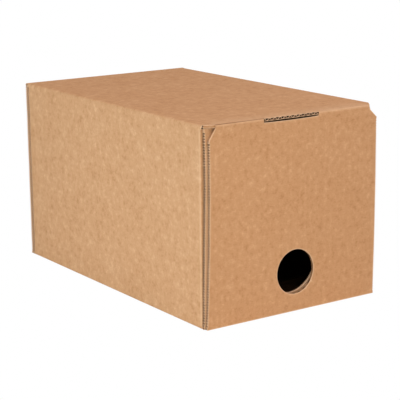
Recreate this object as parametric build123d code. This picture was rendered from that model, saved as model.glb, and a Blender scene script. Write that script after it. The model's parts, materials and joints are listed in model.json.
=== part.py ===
"""Bag-in-box carton, lying on its long side: one folded blank of single-wall B-flute board.

The sleeve's folds run along Y. The front looks along -Y. The flap over the front hangs on a crease
at the front edge of the top panel, and it is the only piece that moves. All sizes are millimetres.
"""
from build123d import *
import os

# The board and the outside of the closed carton
board = 3.0
carton_width = 205.0
carton_height = 192.0
carton_length = 342.0

# The folds: outside and inside radius of a right-angle fold
fold_radius = 3.0
fold_inside_radius = 0.8
layer_gap = 0.3
ground_gap = 0.5

# Where the raw ends of the sleeve's long folds stop, behind the outer faces of the end flaps
corner_recess = 5.0

# The relief cut at each end of the front crease, in the top panel
left_relief_width = 12.3
right_relief_width = 8.5
right_notch_reach = 15.7
right_notch_drop = 12.0

# The front flap: its chamfered hinge corners and its two side edges, which are slightly bowed
chamfer_start_drop = 3.8
left_chamfer_width = 8.0
left_chamfer_drop = 10.2
right_chamfer_drop = 8.8
left_edge_inset_foot = 0.8
left_edge_bow = 1.2
right_edge_inset_head = 1.4
right_edge_inset_foot = 2.2
right_edge_bow = 1.7

# The tongue that a U-shaped cut across the crease leaves on the top panel
tongue_length = 65.0
tongue_centre_offset = -3.2
tongue_side_gap = 0.4
window_reach = 2.6
window_bow = 0.5

# The tap hole and the inner flaps
tap_hole_diameter = 44.0
tap_hole_height = 39.7
inner_hole_diameter = 62.0
inner_hole_offset = -3.3
inner_hole_rise = 9.8
lower_flap_inset = 0.7
lower_flap_top_gap = 0.4
side_flap_width = 60.0
side_flap_end_gap = 1.2

# The fluted sheet between the two liners, where a raw edge runs across the flutes
liner = 0.35
flute_pitch = 6.1
flute_wall = 0.4
flute_crest = 0.9
flute_crest_bevel = 0.3
flute_end_margin = 1.0
flute_sink = 3.0

# Planes that the pieces share
left = -carton_width / 2
right = carton_width / 2
front = -carton_length / 2
rear = carton_length / 2
hinge_y = front + board / 2
hinge_z = carton_height - board / 2
lower_flap_depth = board + layer_gap
side_flap_depth = lower_flap_depth + board + layer_gap
foot_recess = lower_flap_depth + fold_radius
slot_low = board + side_flap_end_gap
slot_high = carton_height - slot_low
left_edge_inset_head = left_relief_width - left_chamfer_width
flap_left_at_crease = left + left_relief_width
flap_right_at_crease = right - right_relief_width
tap_hole_x = (left + left_edge_inset_head + right) / 2
tongue_x = tongue_centre_offset
overrun = 2 * board


def ring(plane, across, along):
    """Closed wall of one board thickness round a rectangle, its corners folded round."""
    outside = RectangleRounded(across, along, fold_radius)
    inside = RectangleRounded(across - 2 * board, along - 2 * board, fold_inside_radius)
    return plane * (outside - inside)


def block(x_from, x_to, y_from, y_to, z_from, z_to):
    """Box between two corners."""
    size = (x_to - x_from, y_to - y_from, z_to - z_from)
    middle = ((x_from + x_to) / 2, (y_from + y_to) / 2, (z_from + z_to) / 2)
    return Pos(*middle) * Box(*size)


def flute_row(length):
    """The hollows of a raw edge, in a row along X, the board's thickness along Y, sunk along +Z."""
    count = int((length - 2 * flute_end_margin) / flute_pitch)
    half_base = (flute_pitch - 2 * flute_wall - flute_crest) / 2
    half_crest = flute_crest / 2
    half_depth = board / 2 - liner
    outline = Polyline(
        (-half_base, -half_depth), (half_base, -half_depth),
        (half_crest, half_depth), (-half_crest, half_depth), close=True)
    cell = make_face(outline)
    cell = chamfer(cell.vertices().sort_by(Axis.Y)[-2:], flute_crest_bevel)
    hollow = extrude(cell, amount=flute_sink)
    turned = Rot(Z=180) * hollow
    row = GridLocations(flute_pitch, 0, count, 1)
    between = GridLocations(flute_pitch, 0, count - 1, 1)
    return [place * hollow for place in row] + [place * turned for place in between]


def sleeve():
    """Top and bottom panels, each with a long fold at either side down to the side panels."""
    length = carton_length - 2 * corner_recess
    section = ring(Plane.XZ, carton_width, carton_height)
    tube = Pos(0, 0, carton_height / 2) * extrude(section, amount=length / 2, both=True)
    across = (left - overrun, right + overrun)
    tube -= block(*across, front, rear, slot_low, slot_high)
    tube -= block(*across, front, front + foot_recess, -overrun, slot_low)
    tube -= block(*across, rear - foot_recess, rear, -overrun, slot_low)
    return tube


def side_panels():
    """Both side panels, with the short flap that each one folds in behind either end."""
    length = carton_length - 2 * side_flap_depth
    section = ring(Plane.XY, carton_width, length)
    height = slot_high - slot_low
    wall = Pos(0, 0, carton_height / 2) * extrude(section, amount=height / 2, both=True)
    open_half = carton_width / 2 - side_flap_width
    return wall - block(-open_half, open_half, front, rear, 0, carton_height)


def lower_flaps():
    """The flap that the bottom panel folds up at either end, from its fold to its top edge."""
    length = carton_length - 2 * lower_flap_depth
    section = ring(Plane.YZ, length, carton_height)
    width = carton_width - 2 * lower_flap_inset
    flaps = Pos(0, 0, carton_height / 2) * extrude(section, amount=width / 2, both=True)
    middle = (front + foot_recess, rear - foot_recess)
    flaps -= block(left, right, *middle, -overrun, carton_height + overrun)
    top_edge = carton_height - board - lower_flap_top_gap
    flaps -= block(left, right, front, rear, top_edge, carton_height + overrun)
    hole = Cylinder(inner_hole_diameter / 2, overrun * 2, rotation=(90, 0, 0))
    hole_x = tap_hole_x + inner_hole_offset
    hole_z = tap_hole_height + inner_hole_rise
    return flaps - Pos(hole_x, front + lower_flap_depth, hole_z) * hole


def rear_flap():
    """The outer flap that the top panel folds down at the rear, from the end of the sleeve."""
    section = ring(Plane.YZ, carton_length, carton_height)
    flap = Pos(0, 0, carton_height / 2) * extrude(section, amount=carton_width / 2, both=True)
    across = (left - overrun, right + overrun)
    under = carton_height - board
    flap -= block(*across, front - overrun, rear - corner_recess, -overrun, carton_height + overrun)
    flap -= block(*across, front, rear - board, -overrun, under)
    flap -= block(*across, front, rear + overrun, -overrun, ground_gap)
    edge = Plane(origin=(0, rear - board / 2, ground_gap), x_dir=(1, 0, 0), z_dir=(0, 0, 1))
    return flap - [edge * hollow for hollow in flute_row(carton_width)]


def front_strip():
    """The end of the top panel between the sleeve and the front crease, with the left relief."""
    crease_y = front + board + layer_gap
    sleeve_end = front + corner_recess
    crease_left = left + left_relief_width * (sleeve_end - crease_y) / corner_recess
    plan = Polygon(
        (crease_left, crease_y), (right, crease_y), (right, sleeve_end), (left, sleeve_end),
        align=None)
    under = carton_height - board
    strip = Pos(0, 0, under) * extrude(plan, amount=board)
    half = tongue_length / 2 - tongue_side_gap
    strip += block(tongue_x - half, tongue_x + half, front, sleeve_end, under, carton_height)
    edge = Plane(origin=(tongue_x, front, hinge_z), x_dir=(1, 0, 0), z_dir=(0, 1, 0))
    return strip - [edge * hollow for hollow in flute_row(2 * half)]


def right_corner_cut():
    """The corner that the notch takes off the top right front of the blank, as a sheared block."""
    crease_end = Vector(flap_right_at_crease, front, carton_height)
    fold_end = Vector(right, front + right_notch_reach, carton_height)
    panel_end = Vector(right, front + side_flap_depth, carton_height - right_notch_drop)
    along = fold_end - crease_end
    normal = along.cross(panel_end - crease_end)
    if normal.Z < 0:
        normal = -normal
    face = Plane(origin=crease_end, x_dir=along, z_dir=normal)
    reach = right_notch_reach * 4
    return face * Box(reach, reach, reach, align=(Align.CENTER, Align.CENTER, Align.MIN))


def carton_body():
    """Everything of the folded blank that stays still when the front flap swings."""
    shell = sleeve() + side_panels() + lower_flaps() + rear_flap() + front_strip()
    corner = right_corner_cut()
    keep_clear = block(
        flap_right_at_crease - overrun, right + overrun, front - overrun,
        front + right_notch_reach + overrun, carton_height - 2 * right_notch_drop,
        carton_height + overrun)
    return shell - (corner & keep_clear)


def flap_outline():
    """The front flap seen from the front, as a face in X and Z with its two bowed side edges."""
    chamfer_z = carton_height - chamfer_start_drop
    left_head = (left + left_edge_inset_head, chamfer_z - left_chamfer_drop)
    left_foot = (left + left_edge_inset_foot, ground_gap)
    left_middle = (
        (left_head[0] + left_foot[0]) / 2 + left_edge_bow, (left_head[1] + left_foot[1]) / 2)
    right_head = (right - right_edge_inset_head, chamfer_z - right_chamfer_drop)
    right_foot = (right - right_edge_inset_foot, ground_gap)
    right_middle = (
        (right_head[0] + right_foot[0]) / 2 + right_edge_bow, (right_head[1] + right_foot[1]) / 2)
    hinge_end = Polyline(
        left_head, (flap_left_at_crease, chamfer_z), (flap_left_at_crease, hinge_z),
        (flap_right_at_crease, hinge_z), (flap_right_at_crease, chamfer_z), right_head)
    right_edge = ThreePointArc(right_head, right_middle, right_foot)
    foot_edge = Line(right_foot, left_foot)
    left_edge = ThreePointArc(left_foot, left_middle, left_head)
    return make_face(Plane.XZ * (hinge_end + right_edge + foot_edge + left_edge))


def tongue_window():
    """What the U-shaped cut takes from the flap, its lower edge bowed, as a solid."""
    half = tongue_length / 2
    foot = hinge_z - window_reach
    lower = ThreePointArc(
        (tongue_x - half, foot), (tongue_x, foot - window_bow), (tongue_x + half, foot))
    sides = Polyline(
        (tongue_x + half, foot), (tongue_x + half, hinge_z + board),
        (tongue_x - half, hinge_z + board), (tongue_x - half, foot))
    face = make_face(Plane.XZ * (lower + sides))
    return Pos(0, hinge_y, 0) * extrude(face, amount=board, both=True)


def front_flap():
    """The flap over the whole front, with its rounded crease, window and tap hole."""
    plate = Pos(0, hinge_y, 0) * extrude(flap_outline(), amount=board / 2, both=True)
    crease_length = flap_right_at_crease - flap_left_at_crease
    bead = Cylinder(board / 2, crease_length, rotation=(0, 90, 0))
    crease_middle = (flap_left_at_crease + flap_right_at_crease) / 2
    plate += Pos(crease_middle, hinge_y, hinge_z) * bead
    plate -= tongue_window()
    foot_length = carton_width - left_edge_inset_foot - right_edge_inset_foot
    foot_middle = (left + left_edge_inset_foot - right_edge_inset_foot + right) / 2
    foot = Plane(origin=(foot_middle, hinge_y, ground_gap), x_dir=(1, 0, 0), z_dir=(0, 0, 1))
    plate -= [foot * hollow for hollow in flute_row(foot_length)]
    hole = Cylinder(tap_hole_diameter / 2, overrun, rotation=(90, 0, 0))
    return plate - Pos(tap_hole_x, hinge_y, tap_hole_height) * hole


os.makedirs("parts", exist_ok=True)
export_step(carton_body(), "parts/carton_body.step")
export_step(front_flap(), "parts/front_flap.step")
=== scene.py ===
"""Plain brown bag-in-box carton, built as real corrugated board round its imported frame.

Every panel is a sheet of two liners with a fluted core between them. A sheet has two coordinates
of its own, across its flutes and along them, and a depth below its outer face. One grid function
turns any part of a sheet into a closed slab. Lengths are millimetres until a mesh is written.
"""
import json
import logging
import math
from dataclasses import dataclass, field
from enum import Enum
from typing import Any, Callable, Iterable, Sequence

import bpy
import numpy as np
from mathutils import Matrix, Vector


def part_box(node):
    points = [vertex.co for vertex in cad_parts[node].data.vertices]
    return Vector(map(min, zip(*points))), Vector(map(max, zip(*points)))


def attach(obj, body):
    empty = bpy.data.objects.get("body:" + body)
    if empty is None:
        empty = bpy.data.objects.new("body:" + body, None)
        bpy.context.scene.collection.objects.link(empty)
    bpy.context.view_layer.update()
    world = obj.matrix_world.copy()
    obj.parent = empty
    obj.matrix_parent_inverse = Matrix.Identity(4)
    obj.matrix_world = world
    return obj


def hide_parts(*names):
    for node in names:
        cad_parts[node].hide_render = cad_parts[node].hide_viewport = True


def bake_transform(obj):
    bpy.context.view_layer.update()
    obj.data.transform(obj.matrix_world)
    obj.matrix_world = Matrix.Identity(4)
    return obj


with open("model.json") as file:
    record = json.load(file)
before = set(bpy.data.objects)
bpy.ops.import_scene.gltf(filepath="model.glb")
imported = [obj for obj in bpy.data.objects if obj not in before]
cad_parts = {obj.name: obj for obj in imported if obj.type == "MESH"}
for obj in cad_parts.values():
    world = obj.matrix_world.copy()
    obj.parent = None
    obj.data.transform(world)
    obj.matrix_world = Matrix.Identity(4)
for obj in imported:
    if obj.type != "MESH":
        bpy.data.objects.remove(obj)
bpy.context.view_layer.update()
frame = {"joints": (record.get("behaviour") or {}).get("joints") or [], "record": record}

LOG = logging.getLogger("carton")
MM = 0.001
Array = np.ndarray

# Rows beside a raw edge: how far in from it each lies, and how much of the cut's look it has
EDGE_INSETS = np.array([0.0, 0.35, 1.1, 2.4])
EDGE_SHARES = np.array([1.0, 0.7, 0.05, 0.0])
EDGE_ROWS = len(EDGE_INSETS)

# The rows past the middle one, on a ray from a hole to the outline of its sheet
RIM = np.arange(2 * EDGE_ROWS + 1) > EDGE_ROWS

# Places closer than TOUCH are one place, and directions past SQUARE are square to a panel
TOUCH = 0.01
SQUARE = 0.999


class Face(Enum):
    """The layers of a board that are made as pieces of their own, each with its finish."""

    OUTSIDE = "outside_liner"
    INSIDE = "inside_liner"
    CORE = "fluted_core"
    CUT = "cut_edge"


# Sizes


@dataclass(frozen=True)
class Board:
    """Single-wall B-flute board, and the look of its raw edges.

    The core stops short of a cut across the flutes by its sink, and of one along them by its
    inset. Teeth are the notches of a cut along the flutes, pockets are the hollows between its
    liners, and cells are the open flutes of a cut across them. A filled raw edge lies behind the
    ends of the liners by a recess, and its hidden back further in by a reach. Its depths are how
    many points it has from one liner to the other.
    """

    thickness: float = 3.0
    liner: float = 0.35
    core: float = 0.24
    pitch: float = 6.1
    crush: float = 0.10
    core_sink: float = 0.25
    core_inset: float = 2.6
    tooth_pitch: float = 2.54
    tooth_depth: float = 1.0
    tooth_gain: float = 1.6
    tooth_lift: float = 0.3
    tooth_fade: float = 1.5
    pocket_depth: float = 1.4
    cell_depth: float = 2.6
    cell_slope: float = 0.14
    cell_shallow: float = 0.4
    # Painted shade in the open cells of a cut across the flutes
    cell_shade: float = 1.7
    core_seen: float = 0.2
    raw_recess: float = 0.05
    plain_recess: float = 0.1
    edge_reach: float = 3.4
    end_reach: float = 4.0
    plain_depths: int = 7
    fluted_depths: int = 13
    wall_depths: int = 5
    wall_points: int = 240
    wall_rings: tuple[float, float] = (0.12, 2.2)
    wall_ripple: float = 0.35

    @property
    def wave(self) -> float:
        """Half the height that the fluted core swings through."""
        return self.thickness / 2 - self.liner - self.core / 2

    def layer(self, liner: Face) -> tuple[float, float]:
        """Depths of the two faces of the outside or the inside liner."""
        if liner is Face.OUTSIDE:
            return 0.0, self.liner
        return self.thickness - self.liner, self.thickness


@dataclass(frozen=True)
class Carton:
    """Outside sizes of the closed carton and the places of its cuts, as its frame has them."""

    width: float
    length: float
    height: float
    hinge_y: float
    hinge_z: float
    hole_x: float
    hole_z: float
    hole_radius: float
    fold: float = 2.2
    gap: float = 0.3
    ground_gap: float = 0.5
    sleeve_recess: float = 5.0
    slot_gap: float = 0.5
    left_relief: float = 12.3
    right_relief: float = 10.0
    notch_reach: float = 13.5
    notch_drop: float = 12.0
    chamfer_start: float = 3.8
    left_chamfer: tuple[float, float] = (7.1, 10.2)
    right_chamfer_drop: float = 8.8
    left_foot_inset: float = 1.5
    left_bow: float = 1.5
    right_head_inset: float = 0.6
    right_foot_inset: float = 1.3
    right_bow: float = 0.85
    tongue_x: float = -3.2
    tongue_half: float = 32.5
    tongue_gap: float = 0.4
    window_reach: float = 2.6
    window_bow: float = 0.5
    crease_drop: float = 2.5
    side_fold: float = 1.6
    lower_corner: tuple[float, float] = (6.8, 11.5)
    lower_dip: float = 2.4
    lower_top_gap: float = 0.05
    lower_inset: float = 0.7
    lower_lean: tuple[tuple[float, ...], tuple[float, ...]] = (
        (0.0, 50.0, 134.0, 189.0), (0.4, 0.9, 2.9, 2.4))
    inner_hole: tuple[float, float, float] = (-3.3, 9.8, 31.0)
    side_flap: float = 60.0

    @property
    def left(self) -> float:
        """X of the left panel's outer face."""
        return -self.width / 2

    @property
    def right(self) -> float:
        """X of the right panel's outer face."""
        return self.width / 2

    @property
    def front(self) -> float:
        """Y of the outer flap's face."""
        return -self.length / 2

    @property
    def crease_ends(self) -> tuple[float, float]:
        """X of the two ends of the front crease."""
        return self.left + self.left_relief, self.right - self.right_relief


def measured_carton() -> Carton:
    """Reads the carton's outside sizes, hinge and tap hole from the frame."""
    low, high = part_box("carton_body")
    hinge = frame["joints"][0]["pos_m"]
    tap = next(m for m in frame["record"]["mounts"] if m["name"] == "tap_hole")
    LOG.info("hinge %.2f mm under the top", (high.z - hinge[2]) / MM)
    return Carton(
        width=(high.x - low.x) / MM, length=(high.y - low.y) / MM, height=high.z / MM,
        hinge_y=hinge[1] / MM, hinge_z=hinge[2] / MM,
        hole_x=tap["pos_m"][0] / MM, hole_z=tap["pos_m"][2] / MM,
        hole_radius=tap["dims"]["r_mm"])


# Sheets: from (across, along, depth) to a place


def squeeze(radius: float, inside: float = 0.1) -> float:
    """Share of the board's thickness that is left between a fold's outside and inside radius."""
    return min(1.0, (radius - inside) / Board.thickness)


@dataclass(frozen=True)
class Bend:
    """A sheet that runs straight, folds a right angle away from its outer face and runs on.

    The straight run that it has by default is so long that the sheet stays flat.
    """

    origin: tuple[float, float, float]
    heading: tuple[float, float, float]
    outward: tuple[float, float, float]
    across: tuple[float, float, float]
    straight: float = 1e6
    radius: float = 3.0

    @property
    def arc(self) -> float:
        """Length of the fold along the outer face."""
        return self.radius * math.pi / 2

    def place(self, c: Array, r: Array, d: Array) -> Array:
        """Places points of the sheet.

        The turn is the distance past the straight part divided by the radius, kept between zero
        and a right angle. A point advances by its straight run plus the radius times the sine of
        the turn, falls by the radius times one minus the cosine, and what is left past the fold
        goes straight down. The depth is taken off along the turned outward direction, squeezed
        in the fold.

        Args:
            c: Distances across the flutes.
            r: Distances along the flutes.
            d: Depths below the outer face.

        Returns:
            Points, with one more axis than the inputs.
        """
        c, r, d = np.broadcast_arrays(c, r, d)
        turn = np.clip((r - self.straight) / self.radius, 0.0, math.pi / 2)
        run = np.minimum(r, self.straight)
        past = np.maximum(r - self.straight - self.arc, 0.0)
        folding = np.sin(2 * turn)
        d = np.where(folding > 0.01, d * squeeze(self.radius), d)
        ahead = run + self.radius * np.sin(turn) - d * np.sin(turn)
        fall = -self.radius * (1 - np.cos(turn)) - past - d * np.cos(turn)
        axes = [np.array(a, float) for a in (self.across, self.heading, self.outward)]
        parts = [k[..., None] * a for k, a in zip((c, ahead, fall), axes)]
        return np.array(self.origin, float) + parts[0] + parts[1] + parts[2]


@dataclass(frozen=True)
class Tube:
    """The sleeve: a rounded rectangle carried along Y, measured round from the bottom's middle."""

    width: float
    height: float
    radius: float

    @property
    def stops(self) -> Array:
        """Distances at which the straight and round parts begin, and the whole perimeter."""
        w, h = self.width - 2 * self.radius, self.height - 2 * self.radius
        a = self.radius * math.pi / 2
        return np.cumsum([0.0, w / 2, a, h, a, w, a, h, a, w / 2])

    def section(self, c: Array) -> tuple[Array, Array, Array, Array]:
        """Centre line of the section.

        Each of the four sides adds its straight run, and each of the four corners turns the
        outward direction by a right angle. A point is the sum of the runs up to it plus the
        radius times its outward direction.

        Args:
            c: Distances round the section.

        Returns:
            X, Z, and the X and Z parts of the outward direction.
        """
        s = self.stops
        turn = sum(np.clip((c - s[k]) / self.radius, 0.0, math.pi / 2) for k in (1, 3, 5, 7))
        nx, nz = np.sin(turn), -np.cos(turn)
        runs = [np.clip(c - s[k], 0.0, s[k + 1] - s[k]) for k in (0, 2, 4, 6, 8)]
        x = runs[0] - runs[2] + runs[4] + self.radius * nx
        z = runs[1] - runs[3] + self.radius * nz + self.radius
        return x, z, nx, nz

    def place(self, c: Array, r: Array, d: Array) -> Array:
        """Places points of the sleeve: the section at c, moved in by d, at Y equal to r."""
        c, r, d = np.broadcast_arrays(c, r, d)
        x, z, nx, nz = self.section(c)
        round_part = np.abs(nx * nz) > 0.005
        d = np.where(round_part, d * squeeze(self.radius), d)
        return np.stack([x - d * nx, r, z - d * nz], axis=-1)


Place = Callable[[Array, Array, Array], Array]


# Meshes


@dataclass
class Slab:
    """Points and four-sided faces of one closed slab, with the marks that finishes read."""

    points: Array
    faces: Array
    marks: dict[str, Array] = field(default_factory=dict)


def grid_faces(n: int, m: int, closed: bool, start: int) -> Array:
    """Four-sided faces of an n by m grid of points, numbered along its rows.

    Args:
        n: Points in the first direction.
        m: Points in the second direction.
        closed: Whether the first direction runs round.
        start: Number of the grid's first point.

    Returns:
        Point numbers, four to a face.
    """
    i = np.arange(n if closed else n - 1)[:, None]
    j = np.arange(m - 1)[None, :]
    a, b = i * m + j, ((i + 1) % n) * m + j
    return start + np.stack([a, b, b + 1, a + 1], axis=-1).reshape(-1, 4)


def slab(
    place: Place, c: Array, r: Array, top: Array | float, under: Array | float,
    closed: bool = False, edge: Array | float = 0.0, hollow: Array | float = 0.0,
) -> Slab:
    """Makes a closed slab of part of a sheet.

    The same grid of across and along values is placed twice, at the depths of the two faces, and
    the open sides of the two grids are joined by rims. If the volume, summed over faces as the
    centre dotted with the doubled area, is negative, every face is turned over.

    Args:
        place: The sheet's place function.
        c: Distances across, on an n by m grid.
        r: Distances along, on the same grid.
        top: Depth of the outer face, as one number or on the grid.
        under: Depth of the inner face, as one number or on the grid.
        closed: Whether the first direction runs round.
        edge: How much each grid point is raw cut edge, from 0 to 1.
        hollow: How much painted shade each grid point has, from 0 to 1.

    Returns:
        The slab.
    """
    n, m = c.shape
    upper = place(c, r, np.broadcast_to(top, c.shape)).reshape(-1, 3)
    lower = place(c, r, np.broadcast_to(under, c.shape)).reshape(-1, 3)
    size = n * m
    outer = grid_faces(n, m, closed, 0)
    inner = grid_faces(n, m, closed, size)[:, ::-1]
    i = np.arange(n if closed else n - 1)
    a, b = i * m, ((i + 1) % n) * m
    rims = [
        np.stack([b, a, a + size, b + size], axis=-1),
        np.stack([a, b, b + size, a + size], axis=-1) + m - 1,
    ]
    if not closed:
        j = np.arange(m - 1)
        k = (n - 1) * m + j
        rims.append(np.stack([j, j + 1, j + 1 + size, j + size], axis=-1))
        rims.append(np.stack([k + 1, k, k + size, k + 1 + size], axis=-1))
    points = np.concatenate([upper, lower])
    faces = np.concatenate([outer, inner, *rims])
    p = points[faces] - points.mean(axis=0)
    doubled = np.cross(p[:, 2] - p[:, 0], p[:, 3] - p[:, 1])
    if np.einsum("ij,ij->", p.mean(axis=1), doubled) < 0:
        faces = faces[:, ::-1]
    # The amount of painted shade rides on the mesh as a mark, beside the share of raw edge
    marks = {
        "across": np.tile(c.reshape(-1), 2) * MM,
        "along": np.tile(r.reshape(-1), 2) * MM,
        "edge": np.tile(np.broadcast_to(edge, c.shape).reshape(-1), 2),
        "hollow": np.tile(np.broadcast_to(hollow, c.shape).reshape(-1), 2),
    }
    return Slab(points, faces, marks)


def board_mesh(name: str, slabs: Iterable[Slab], sharp: float = 40.0) -> bpy.types.Object:
    """Joins slabs into one object at the origin, in metres, with smooth faces and sharp edges.

    Args:
        name: Name of the piece.
        slabs: The slabs.
        sharp: Angle in degrees past which an edge is sharp.

    Returns:
        The object.
    """
    slabs = list(slabs)
    starts = np.cumsum([0] + [len(s.points) for s in slabs[:-1]])
    points = np.concatenate([s.points for s in slabs]) * MM
    faces = np.concatenate([s.faces + k for s, k in zip(slabs, starts)])
    mesh = bpy.data.meshes.new(name)
    mesh.vertices.add(len(points))
    mesh.vertices.foreach_set("co", points.astype(np.float32).ravel())
    mesh.loops.add(faces.size)
    mesh.loops.foreach_set("vertex_index", faces.astype(np.int32).ravel())
    mesh.polygons.add(len(faces))
    mesh.polygons.foreach_set("loop_start", np.arange(0, faces.size, 4, dtype=np.int32))
    mesh.polygons.foreach_set("use_smooth", np.ones(len(faces), dtype=bool))
    mesh.update(calc_edges=True)
    mesh.validate()
    mesh.set_sharp_from_angle(angle=math.radians(sharp))
    for key in ("across", "along", "edge", "hollow"):
        values = np.concatenate([s.marks[key] for s in slabs]).astype(np.float32)
        mesh.attributes.new(key, "FLOAT", "POINT").data.foreach_set("value", values)
    piece = bpy.data.objects.new(name, mesh)
    bpy.context.scene.collection.objects.link(piece)
    return piece


# Rows and columns


def spaced(start: float, end: float, step: float) -> Array:
    """Even values from start to end, no further apart than step."""
    return np.linspace(start, end, max(2, int(math.ceil(abs(end - start) / step)) + 1))


def with_steps(values: Array, steps: Sequence[float], width: float = 0.02) -> Array:
    """Adds a close pair of values at each step, so that a jump there is steep."""
    pairs = np.array([[s - width / 2, s + width / 2] for s in steps]).reshape(-1)
    return np.unique(np.round(np.concatenate([values, pairs]), 5))


def crushed_rows(low: Array, high: Array, middle: Array) -> tuple[Array, Array]:
    """Rows between two raw edges, close together at both.

    Each row is the low edge plus an inset, the high edge less an inset, or a value between, and
    the share of raw edge falls from one to zero over the insets.

    Args:
        low: Where the rows begin, one value for each column.
        high: Where they end.
        middle: Rows between, the same for all columns.

    Returns:
        The rows, on a grid, and the share of raw edge of each.
    """
    head = low[:, None] + EDGE_INSETS
    tail = high[:, None] - EDGE_INSETS[::-1]
    rows = np.concatenate([head, np.tile(middle, (len(low), 1)), tail], axis=1)
    shares = np.concatenate([EDGE_SHARES, np.zeros(len(middle)), EDGE_SHARES[::-1]])
    return rows, np.tile(shares, (len(low), 1))


def notches(along: Array, board: Board) -> Array:
    """One in each notch of a serrated edge and zero between: a clipped cosine of the distance."""
    wave = board.tooth_gain * np.cos(2 * math.pi * along / board.tooth_pitch)
    return np.clip(wave + board.tooth_lift, 0.0, 1.0)


def teeth(along: Array, board: Board) -> Array:
    """How far a serrated edge is cut back at each distance along it, nothing near its ends."""
    ends = np.minimum(along - along.min(), along.max() - along)
    fade = np.clip(ends / board.tooth_fade - 1.0, 0.0, 1.0)
    return board.tooth_depth * notches(along, board) * fade


def bowed(along: Array, low: tuple[float, float], high: tuple[float, float], bow: float) -> Array:
    """Edge between two (across, along) points, bowed by a parabola that peaks halfway."""
    t = (along - low[1]) / (high[1] - low[1])
    return low[0] + (high[0] - low[0]) * t + 4 * bow * t * (1 - t)


# Sheets made of layers


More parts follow.
